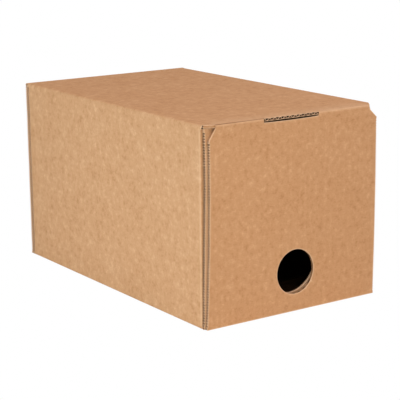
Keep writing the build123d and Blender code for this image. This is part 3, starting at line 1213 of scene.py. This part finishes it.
@dataclass
class FrontFlap:
    """The outer front flap from just under its crease to its foot, with window and tap hole."""

    carton: Carton
    board: Board
    flute_step: float = 0.5
    tooth_step: float = 0.42
    corner_step: float = 0.8
    crease_step: float = 1.5
    plain_step: float = 1.0
    chamfer_step: float = 0.5
    window_points: int = 40
    ray_margin: float = 0.001
    chamfer_back: tuple[float, float] = (2.4, 2.0)
    # Painted shade on the chamfers' cut faces, the hole's wall and the inner liner beside the
    # serrated edges
    chamfer_shade: float = 0.36
    wall_shade: float = 0.5
    flank_shade: tuple[float, float] = (0.45, 0.6)
    fleck_spots: tuple[tuple[float, float, float], ...] = (
        (13.0, 18.6, 1.0), (19.4, 12.4, 0.9), (12.6, -18.4, 0.9))

    @property
    def face(self) -> Bend:
        """The flap's plane, with distances along measured down from the top of the carton."""
        k = self.carton
        return Bend((0.0, k.front, k.height), (0, 0, -1), (0, -1, 0), (1, 0, 0))

    def side_edges(self) -> tuple[tuple[Array, Array], tuple[Array, Array]]:
        """Left and right raw edges as (along, across) before their teeth are cut."""
        k = self.carton
        foot = k.height - k.ground_gap
        left_top = k.chamfer_start + k.left_chamfer[1]
        right_top = k.chamfer_start + k.right_chamfer_drop
        left_x = k.left + k.left_relief - k.left_chamfer[0]
        down_left = spaced(left_top, foot, self.tooth_step)
        down_right = spaced(right_top, foot, self.tooth_step)
        left = bowed(
            down_left, (left_x, left_top), (k.left + k.left_foot_inset, foot), k.left_bow)
        right = bowed(
            down_right, (k.right - k.right_head_inset, right_top),
            (k.right - k.right_foot_inset, foot), k.right_bow)
        return (down_left, left), (down_right, right)

    def outline(self) -> Outline:
        """The flap's cut line, round from the left foot.

        The window narrows a little towards its foot, in proportion to the distance from the tap
        hole, so that a ray from the hole meets the line once.

        Returns:
            The cut line.
        """
        k, b = self.carton, self.board
        (left_r, left_c), (right_r, right_c) = self.side_edges()
        first, last = k.crease_ends
        head = k.crease_drop
        low = k.height - k.hinge_z + k.window_reach
        x0, x1 = k.tongue_x - k.tongue_half, k.tongue_x + k.tongue_half
        reach = k.height - k.hole_z
        narrowing = (reach - low) / (reach - head) - self.ray_margin
        foot0, foot1 = (k.hole_x + (x - k.hole_x) * narrowing for x in (x0, x1))
        window_c = np.linspace(foot1, foot0, self.window_points)
        middle, half = (foot0 + foot1) / 2, (foot1 - foot0) / 2
        window_r = low + k.window_bow * (1 - ((window_c - middle) / half) ** 2)
        return Outline.of([
            (left_c[::-1], left_r[::-1], teeth(left_r, b)[::-1]),
            line((left_c[0], left_r[0]), (first, k.chamfer_start), self.corner_step),
            line((first, k.chamfer_start), (first, head), self.corner_step),
            line((first, head), (x0, head), self.crease_step),
            line((x0, head), (foot0, low), self.corner_step),
            (window_c[::-1], window_r[::-1]),
            line((foot1, low), (x1, head), self.corner_step),
            line((x1, head), (last, head), self.crease_step),
            line((last, head), (last, k.chamfer_start), self.corner_step),
            line((last, k.chamfer_start), (right_c[0], right_r[0]), self.corner_step),
            (right_c, right_r, -teeth(right_r, b)),
            line((right_c[-1], right_r[-1]), (left_c[-1], left_r[-1]), self.plain_step)])

    def sheet(self) -> Sheet:
        """Liners on rays from the tap hole, the core in columns, and both serrated edges."""
        k, b = self.carton, self.board
        sheet = Sheet(b, self.face.place)
        centre = (k.hole_x, k.height - k.hole_z)
        outline = self.outline()
        c, r, edge = outline.rings(centre, k.hole_radius)
        crease = r[:, -1] <= k.crease_drop + TOUCH
        edge = np.where(crease[:, None] & RIM, 0.0, edge)
        # Painted shade on the inner liner beside the serrated edges
        flank = outline.flank(edge, self.flank_shade)
        sheet.liners(c, r, np.maximum(edge, self.flecks(c, r)), closed=True, lining=flank)
        # The hole's wall in painted shade
        sheet.hole_wall(centre, k.hole_radius, self.wall_shade, 0.0)
        self.core(sheet, centre)
        (left_r, left_c), (right_r, right_c) = self.side_edges()
        sheet.serrated_edge(left_r, left_c, 1.0)
        sheet.serrated_edge(right_r, right_c, -1.0)
        first, last = k.crease_ends
        for side, start, edge_c, edge_r in (
                (1.0, first, left_c, left_r), (-1.0, last, right_c, right_r)):
            c, r = line((edge_c[0], edge_r[0]), (start, k.chamfer_start), self.chamfer_step)
            inner, down = self.chamfer_back
            # Each chamfer's cut face, in painted shade
            sheet.cut_face(
                (c + side * b.plain_recess, r), (c + side * inner, r + down),
                sheet.cut_depths(b.wall_depths), self.chamfer_shade, raw=0.0)
        return sheet

    def flecks(self, c: Array, r: Array) -> Array:
        """Light flecks of torn paper round the tap hole: a bell of the distance from each."""
        x, z = c - self.carton.hole_x, r - (self.carton.height - self.carton.hole_z)
        return sum(
            np.exp(-(((x - at_x) ** 2 + (z - at_z) ** 2) / size**2))
            for at_x, at_z, size in self.fleck_spots)

    def core(self, sheet: Sheet, centre: tuple[float, float]) -> None:
        """Adds the fluted core, its head following the chamfers and the window."""
        k, inset = self.carton, self.board.core_inset
        (left_r, left_c), (right_r, right_c) = self.side_edges()
        first, last = k.crease_ends
        x0, x1 = k.tongue_x - k.tongue_half, k.tongue_x + k.tongue_half
        head, low = k.crease_drop, k.height - k.hinge_z + k.window_reach
        foot = k.height - k.ground_gap
        head_c = [left_c[0], first - TOUCH, first, x0 - TOUCH, x0, k.tongue_x, x1, x1 + TOUCH,
                  last, last + TOUCH, right_c[0]]
        head_r = [left_r[0], k.chamfer_start, head, head, low, low + k.window_bow, low, head,
                  head, k.chamfer_start, right_r[0]]
        sheet.flutes_round_hole(
            (left_c[0] + inset, right_c[0] - inset),
            lambda across: np.interp(across, head_c, head_r), lambda across: foot,
            centre, k.hole_radius, self.flute_step)


@dataclass
class Crease:
    """The outer and inner liner where the flap bends off the top panel, beside the slot.

    The groove shares are how much of the groove is left at the carton's left side, the slot's
    middle and the right side. The lining's ends are how far it starts past the top panel's end,
    and how far it stops short of the flap's inner face and below the panel.
    """

    carton: Carton
    board: Board
    rows: int = 26
    lining_rows: int = 16
    column_step: float = 2.0
    lining_step: float = 12.0
    groove: float = 0.28
    groove_at: float = 0.9
    groove_width: float = 0.75
    groove_shares: tuple[float, float, float] = (1.0, 0.55, 0.12)
    # Painted shade in the groove and a painted highlight beside it
    groove_shade: float = 0.58
    highlight_width: float = 2.3
    highlight_share: float = 0.7
    highlight_cutback: float = 1.2
    lining_ends: tuple[float, float, float] = (0.15, 0.1, 0.5)
    lining_thickness: float = 0.2
    lining_slant: float = 0.7

    def spans(self) -> list[tuple[float, float]]:
        """X ranges left and right of the slot."""
        k = self.carton
        first, last = k.crease_ends
        return [(first, k.tongue_x - k.tongue_half), (k.tongue_x + k.tongue_half, last)]

    @property
    def bend(self) -> Bend:
        """From the top panel's end, round the hinge line and down the flap."""
        k, b = self.carton, self.board
        start = k.front + b.thickness + k.gap
        run = start - k.hinge_y
        return Bend(
            (0.0, start, k.height), (0, -1, 0), (0, 0, 1), (1, 0, 0), run, k.hinge_y - k.front)

    def outer(self) -> list[Slab]:
        """The outer liner, with a pressed groove that fades out to the right of the slot.

        The groove's depth is a bell of the distance from the crease line, times a share that
        falls from one at the left end to almost nothing at the right, and the groove is darkened
        with painted shade in the same bell. A painted highlight shows beside it, in a wider bell
        less the groove's own.

        Returns:
            One slab for each side of the slot.
        """
        k, bend = self.carton, self.bend
        end = bend.straight + bend.arc + (k.hinge_z - (k.height - k.crease_drop))
        r = np.linspace(0.0, end, self.rows)
        off = r - bend.straight - self.groove_at
        bell = np.exp(-((off / self.groove_width) ** 2))
        beside = np.exp(-((off / (self.highlight_width * self.groove_width)) ** 2))
        slabs = []
        for x0, x1 in self.spans():
            c = spaced(x0, x1, self.column_step)
            share = np.interp(c, [k.left, k.tongue_x, k.right], self.groove_shares)[:, None]
            deep = self.groove * share * bell
            # Painted highlight in a wide bell beside the groove, less the groove's own bell
            painted_highlight = np.clip(beside - self.highlight_cutback * share * bell, 0.0, 1.0) * self.highlight_share
            grid_c, grid_r = np.meshgrid(c, r, indexing="ij")
            slabs.append(slab(
                bend.place, grid_c, grid_r, deep, deep + self.board.liner, edge=painted_highlight,
                hollow=self.groove_shade * share * bell))
        return slabs

    def lining_line(self) -> tuple[tuple[float, float], tuple[float, float]]:
        """Y and Z where the inner liner leaves the top panel, and where it meets the flap."""
        k, b = self.carton, self.board
        y, z = k.front + b.thickness, k.height - b.thickness
        past, short, below = self.lining_ends
        return (y + k.gap + past, z), (y - short, z - below)

    def inner(self) -> list[Slab]:
        """The inner liner, gathered in the corner under the crease while the flap hangs."""
        start, end = self.lining_line()
        t = np.linspace(0.0, 1.0, self.lining_rows)
        y, z = start[0] + (end[0] - start[0]) * t, start[1] + (end[1] - start[1]) * t

        def corner(c: Array, r: Array, d: Array) -> Array:
            """Places points on the short straight line from start to end, lifted by d."""
            lift = self.lining_slant * d
            return np.stack([c, np.interp(r, t, y) - lift, np.interp(r, t, z) + lift], axis=-1)

        slabs = []
        for x0, x1 in self.spans():
            grid_c, grid_r = np.meshgrid(spaced(x0, x1, self.lining_step), t, indexing="ij")
            slabs.append(slab(corner, grid_c, grid_r, 0.0, self.lining_thickness))
        return slabs


# Finishes


class Wire:
    """A value socket that turns arithmetic into Math nodes."""

    def __init__(self, graph: "Graph", socket: bpy.types.NodeSocket) -> None:
        """Keeps the graph and the socket."""
        self.graph = graph
        self.socket = socket

    def __add__(self, other: Any) -> "Wire":
        """Sum."""
        return self.graph.math("ADD", self, other)

    def __sub__(self, other: Any) -> "Wire":
        """Difference."""
        return self.graph.math("SUBTRACT", self, other)

    def __mul__(self, other: Any) -> "Wire":
        """Product."""
        return self.graph.math("MULTIPLY", self, other)


class Graph:
    """The node tree of one material or world."""

    def __init__(self, owner: bpy.types.Material | bpy.types.World) -> None:
        """Empties the owner's node tree."""
        owner.use_nodes = True
        self.tree = owner.node_tree
        self.tree.nodes.clear()

    def node(
        self, kind: str, settings: dict[str, Any] | None = None,
        sockets: dict[Any, Any] | None = None,
    ) -> bpy.types.Node:
        """Adds a node.

        Args:
            kind: The node's type without its ShaderNode prefix.
            settings: Properties set first.
            sockets: Values or wires for inputs, by name or number.

        Returns:
            The node.
        """
        made = self.tree.nodes.new("ShaderNode" + kind)
        for key, value in (settings or {}).items():
            setattr(made, key, value)
        for key, value in (sockets or {}).items():
            self.feed(made.inputs[key], value)
        return made

    def feed(self, socket: bpy.types.NodeSocket, value: Any) -> None:
        """Links a wire or a socket to an input, or sets its value."""
        if isinstance(value, Wire):
            value = value.socket
        if isinstance(value, bpy.types.NodeSocket):
            self.tree.links.new(value, socket)
        else:
            socket.default_value = value

    def wire(
        self, kind: str, settings: dict[str, Any] | None = None,
        sockets: dict[Any, Any] | None = None, out: Any = 0,
    ) -> Wire:
        """Adds a node and gives one of its outputs."""
        return Wire(self, self.node(kind, settings, sockets).outputs[out])

    def math(self, operation: str, *values: Any) -> Wire:
        """Adds a Math node."""
        return self.wire("Math", {"operation": operation}, dict(enumerate(values)))

    def smooth(self, value: Wire, low: float, high: float) -> Wire:
        """Zero below low, one above high and a smooth step between."""
        return self.wire(
            "MapRange", {"interpolation_type": "SMOOTHSTEP"},
            {"Value": value, "From Min": low, "From Max": high})

    def noise(self, vector: Any, scale: float, detail: float = 2.0, rough: float = 0.5) -> Wire:
        """Fractal noise with a mean near a half."""
        sockets = {"Vector": vector, "Scale": scale, "Detail": detail, "Roughness": rough}
        return self.wire("TexNoise", {}, sockets)

    def blend(self, factor: Any, a: Any, b: Any) -> Wire:
        """Mixes two colours."""
        return self.wire("Mix", {"data_type": "RGBA"}, {0: factor, 6: a, 7: b}, out=2)

    def mark(self, name: str) -> Wire:
        """Reads a number that the mesh carries at its points."""
        return self.wire("Attribute", {"attribute_name": name}, out="Fac")


def rgb(red: float, green: float, blue: float) -> tuple[float, float, float, float]:
    """Colour from levels of 0 to 255 as a screen shows them."""
    def linear(level: float) -> float:
        """Undoes the screen's curve."""
        v = level / 255
        return v / 12.92 if v <= 0.04045 else ((v + 0.055) / 1.055) ** 2.4

    return (linear(red), linear(green), linear(blue), 1.0)


@dataclass(frozen=True)
class Kraft:
    """Brown kraft paper: cloudy formation, fibres, specks and the faint lines of the flutes.

    Each size of cloud is a scale and a weight. The grain is how far the fibres' clouds are
    stretched across the flutes, along them and in depth. A range is where a mark or a noise
    starts and ends turning the colour. The relief weighs clouds, fine clouds, fibres and flutes.
    """

    name: str
    base: tuple[float, float, float, float] = rgb(203, 153, 108)
    dark: tuple[float, float, float, float] = rgb(186, 134, 89)
    light: tuple[float, float, float, float] = rgb(217, 170, 127)
    raw: tuple[float, float, float, float] = rgb(232, 194, 155)
    # Colour of painted shade in pockets, cells, grooves, corners and the inside; near black for the
    # deepest
    hollow: tuple[float, float, float, float] = rgb(56, 28, 12)
    deep_shade: tuple[float, float, float, float] = (0.004, 0.002, 0.001, 1.0)
    broad: tuple[float, float] = (26.0, 0.25)
    middling: tuple[float, float] = (170.0, 1.1)
    fine: tuple[float, float] = (620.0, 0.5)
    fibres: tuple[float, float] = (900.0, 0.45)
    grain: tuple[float, float, float] = (0.35, 2.4, 0.05)
    specks: float = 1500.0
    speck_range: tuple[float, float] = (0.70, 0.76)
    painted_shade_range: tuple[float, float] = (0.05, 0.9)
    deep_shade_range: tuple[float, float] = (0.9, 1.3)
    relief: tuple[float, float, float, float] = (0.4, 0.3, 0.5, 0.5)
    cloud: float = 1.35
    raw_cover: float = 0.85
    speck_cover: float = 0.35
    washboard: float = 0.025
    roughness: float = 0.75
    specular: float = 0.1
    bump: float = 0.35
    bump_height: float = 0.00012

    def material(self) -> bpy.types.Material:
        """Builds the material.

        The tone is a half plus clouds of four sizes, the finest drawn out into fibres across the
        flutes, and it moves the colour between dark and light. Raw edges cover it with the raw
        colour by the mesh's edge mark, which also carries painted highlights at folds, the crease
        and a strip. The mark of painted shade turns it to the colour of painted shade, and a deeper
        one to near black.

        Returns:
            The material.
        """
        made = bpy.data.materials.new(self.name)
        g = Graph(made)
        place = g.wire("TexCoord", out="Object").socket
        across, along = g.mark("across"), g.mark("along")
        stretched = {
            0: across * self.grain[0], 1: along * self.grain[1], 2: across * self.grain[2]}
        grain = g.wire("CombineXYZ", {}, stretched).socket
        broad = g.noise(place, self.broad[0], 2.0)
        clouds = g.noise(place, self.middling[0], 3.0, 0.6)
        fine = g.noise(place, self.fine[0], 2.0, 0.55)
        fibres = g.noise(grain, self.fibres[0], 2.0, 0.6)
        flute = g.math("SINE", across * (2 * math.pi / (Board.pitch * MM)))
        tone = (
            (clouds - 0.5) * self.middling[1] + (fine - 0.5) * self.fine[1]
            + (fibres - 0.5) * self.fibres[1] + (broad - 0.5) * self.broad[1]
        ) * self.cloud + 0.5 + flute * self.washboard
        darker = g.blend(g.smooth(tone, 0.5, 0.0), self.base, self.dark)
        colour = g.blend(g.smooth(tone, 0.5, 1.0), darker, self.light)
        speck = g.smooth(g.noise(place, self.specks, 1.0), *self.speck_range) * self.speck_cover
        colour = g.blend(speck, colour, self.dark)
        colour = g.blend(g.mark("edge") * self.raw_cover, colour, self.raw)
        # Painted shade from the mark, then near black where it is deepest
        shade_mark = g.mark("hollow")
        colour = g.blend(g.smooth(shade_mark, *self.painted_shade_range), colour, self.hollow)
        colour = g.blend(g.smooth(shade_mark, *self.deep_shade_range), colour, self.deep_shade)
        layers = [wire * weight for wire, weight in zip((clouds, fine, fibres, flute), self.relief)]
        height = layers[0] + layers[1] + layers[2] + layers[3]
        bump = g.node("Bump", {}, {
            "Strength": self.bump, "Distance": self.bump_height, "Height": height})
        shader = g.node("BsdfPrincipled", {}, {
            "Base Color": colour, "Roughness": self.roughness, "Specular IOR Level": self.specular,
            "Normal": bump.outputs[0]})
        g.node("OutputMaterial", {}, {"Surface": shader.outputs[0]})
        return made


FINISHES = {
    Face.OUTSIDE: Kraft("kraft_outside"),
    Face.INSIDE: Kraft(
        "kraft_inside", base=rgb(190, 140, 97), dark=rgb(172, 121, 80), light=rgb(205, 157, 115)),
    Face.CORE: Kraft(
        "fluted_core", base=rgb(172, 122, 80), dark=rgb(150, 101, 62), light=rgb(190, 142, 99),
        washboard=0.0),
    Face.CUT: Kraft(
        "cut_edge", base=rgb(190, 136, 90), dark=rgb(160, 108, 66), light=rgb(219, 172, 130),
        washboard=0.0),
}


@dataclass
class Workshop:
    """Makes, dresses and hangs the pieces."""

    finishes: dict[Face, bpy.types.Material] = field(init=False)

    def __post_init__(self) -> None:
        """Builds each finish once."""
        self.finishes = {face: kraft.material() for face, kraft in FINISHES.items()}

    def dress(self, piece: bpy.types.Object, face: Face, node: str) -> bpy.types.Object:
        """Gives a piece its finish and slot and lets it stand for a node."""
        piece.data.materials.append(self.finishes[face])
        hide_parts(node)
        LOG.info("%s: %d faces", piece.name, len(piece.data.polygons))
        return piece

    def hang(self, name: str, sheets: Sequence[Sheet], body: str, node: str) -> None:
        """Makes one object of each layer of some sheets, and lets it ride on a body."""
        for face in Face:
            slabs = [part for sheet in sheets for part in sheet.slabs[face]]
            if slabs:
                piece = self.dress(board_mesh(f"{name}_{face.value}", slabs), face, node)
                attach(piece, body)


# The stage


@dataclass(frozen=True)
class PhotoCamera:
    """The camera, as turned and placed from the carton's middle, in degrees and millimetres.

    Its focal length is in pixels of a frame that is as wide as the frame width.
    """

    azimuth: float = -34.420
    elevation: float = 13.084
    roll: float = -0.584
    offset: tuple[float, float, float] = (-8.008, -17.084, 1436.623)
    focal: float = 1372.3
    frame_width: float = 400.0
    sensor: float = 36.0

    def build(self, centre: tuple[float, float, float]) -> None:
        """Adds the camera.

        The view's right, up and back directions come from azimuth and elevation, and the first
        two are turned by the roll. The camera stands at the centre less the offset taken along
        right, down and ahead.

        Args:
            centre: The point that the offset is taken from.
        """
        a, e, r = (math.radians(v) for v in (self.azimuth, self.elevation, self.roll))
        back = np.array([math.sin(a) * math.cos(e), -math.cos(a) * math.cos(e), math.sin(e)])
        side = np.cross(-back, [0.0, 0.0, 1.0])
        side /= np.linalg.norm(side)
        up = np.cross(side, -back)
        right = side * math.cos(r) + up * math.sin(r)
        above = -side * math.sin(r) + up * math.cos(r)
        t = self.offset
        spot = np.array(centre) - (right * t[0] - above * t[1] - back * t[2])
        data = bpy.data.cameras.new("photo_camera")
        data.sensor_width = self.sensor
        data.lens = self.focal / self.frame_width * self.sensor
        data.clip_end = 100.0
        camera = bpy.data.objects.new("photo_camera", data)
        matrix = np.eye(4)
        matrix[:3, 0], matrix[:3, 1], matrix[:3, 2], matrix[:3, 3] = right, above, back, spot * MM
        camera.matrix_world = Matrix(matrix.tolist())
        bpy.context.scene.collection.objects.link(camera)
        bpy.context.scene.camera = camera


@dataclass(frozen=True)
class Lamp:
    """One soft area light that looks at the carton."""

    name: str
    place: tuple[float, float, float]
    size: float
    power: float
    tint: tuple[float, float, float] = (1.0, 1.0, 1.0)

    def build(self, target: Vector) -> None:
        """Adds the light."""
        data = bpy.data.lights.new(self.name, "AREA")
        data.shape = "DISK"
        data.size = self.size
        data.energy = self.power
        data.color = self.tint
        lamp = bpy.data.objects.new(self.name, data)
        spot = Vector(self.place)
        turn = (target - spot).to_track_quat("-Z", "Y")
        lamp.matrix_world = Matrix.Translation(spot) @ turn.to_matrix().to_4x4()
        bpy.context.scene.collection.objects.link(lamp)


@dataclass
class Studio:
    """White floor, even world light and soft lamps, two of them small and low."""

    floor_size: float = 12.0
    world: float = 0.27
    floor_white: float = 1.0
    floor_grey: float = 0.9
    aim: tuple[float, float, float] = (0.0, 0.0, 0.09)
    lamps: tuple[Lamp, ...] = (
        Lamp("key", (-2.5, -0.3, 0.25), 1.6, 38.6, (0.82, 1.01, 1.17)),
        Lamp("left_low", (-0.62, -0.1, 0.03), 0.2, 0.8, (0.82, 1.01, 1.17)),
        Lamp("front_low", (-0.2, -0.72, 0.05), 0.25, 0.72, (1.0, 1.03, 0.86)),
        Lamp("top_fill", (0.2, -1.2, 2.5), 2.2, 44.0, (1.06, 0.955, 0.985)),
    )

    def seen(self, g: Graph) -> Wire:
        """One for rays that come from the camera, off gloss or through glass, else zero."""
        path = g.node("LightPath")
        rays = [Wire(g, path.outputs[k]) for k in (
            "Is Camera Ray", "Is Glossy Ray", "Is Transmission Ray")]
        return g.math("MINIMUM", rays[0] + rays[1] + rays[2], 1.0)

    def build(self) -> None:
        """Adds the world, the floor and the lamps."""
        scene = bpy.context.scene
        world = bpy.data.worlds.new("studio")
        scene.world = world
        g = Graph(world)
        level = self.seen(g) * (1.0 - self.world) + self.world
        back = g.node("Background", {}, {0: (1.0, 1.0, 1.0, 1.0), 1: level})
        g.node("OutputWorld", {}, {0: back.outputs[0]})
        h = self.floor_size / 2
        mesh = bpy.data.meshes.new("floor")
        mesh.from_pydata([(-h, -h, 0), (h, -h, 0), (h, h, 0), (-h, h, 0)], [], [(0, 1, 2, 3)])
        floor = bpy.data.objects.new("floor", mesh)
        scene.collection.objects.link(floor)
        white = bpy.data.materials.new("floor_white")
        g = Graph(white)
        matt = g.node("BsdfDiffuse", {}, {0: (*(3 * [self.floor_grey]), 1.0)})
        glow = g.node("Emission", {}, {0: (1.0, 1.0, 1.0, 1.0), 1: 1.0})
        mixed = g.node("MixShader", {}, {
            0: self.seen(g) * self.floor_white, 1: matt.outputs[0], 2: glow.outputs[0]})
        g.node("OutputMaterial", {}, {0: mixed.outputs[0]})
        mesh.materials.append(white)
        for lamp in self.lamps:
            lamp.build(Vector(self.aim))
        scene.view_settings.view_transform = "Standard"


def main() -> None:
    """Builds the carton, its stage and its camera."""
    board = Board()
    carton = measured_carton()
    shop = Workshop()
    flaps = Flaps(carton, board)
    shop.hang("sleeve", [Sleeve(carton, board).sheet()], "carton", "carton_body")
    shop.hang(
        "front_closure", [flaps.lower_flap(-1), flaps.side_flap(-1, -1), flaps.side_flap(1, -1)],
        "carton", "carton_body")
    shop.hang(
        "rear_closure",
        [flaps.rear_flap(), flaps.lower_flap(1), flaps.side_flap(-1, 1), flaps.side_flap(1, 1)],
        "carton", "carton_body")
    shop.hang("front_flap", [FrontFlap(carton, board).sheet()], "flap", "front_flap")
    crease = Crease(carton, board)
    outer = shop.dress(board_mesh("front_crease", crease.outer()), Face.OUTSIDE, "front_flap")
    start = (0.0, (carton.front + board.thickness + carton.gap) * MM, carton.height * MM)
    end = (0.0, carton.front * MM, (carton.height - carton.crease_drop) * MM)
    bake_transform(outer)
    inner = shop.dress(board_mesh("crease_lining", crease.inner()), Face.INSIDE, "front_flap")
    start, end = ((0.0, y * MM, z * MM) for y, z in crease.lining_line())
    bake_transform(inner)
    PhotoCamera().build((0.0, 0.0, carton.height / 2))
    Studio().build()


if __name__ == "__main__":
    logging.basicConfig(level=logging.INFO, format="%(name)s: %(message)s")
    main()
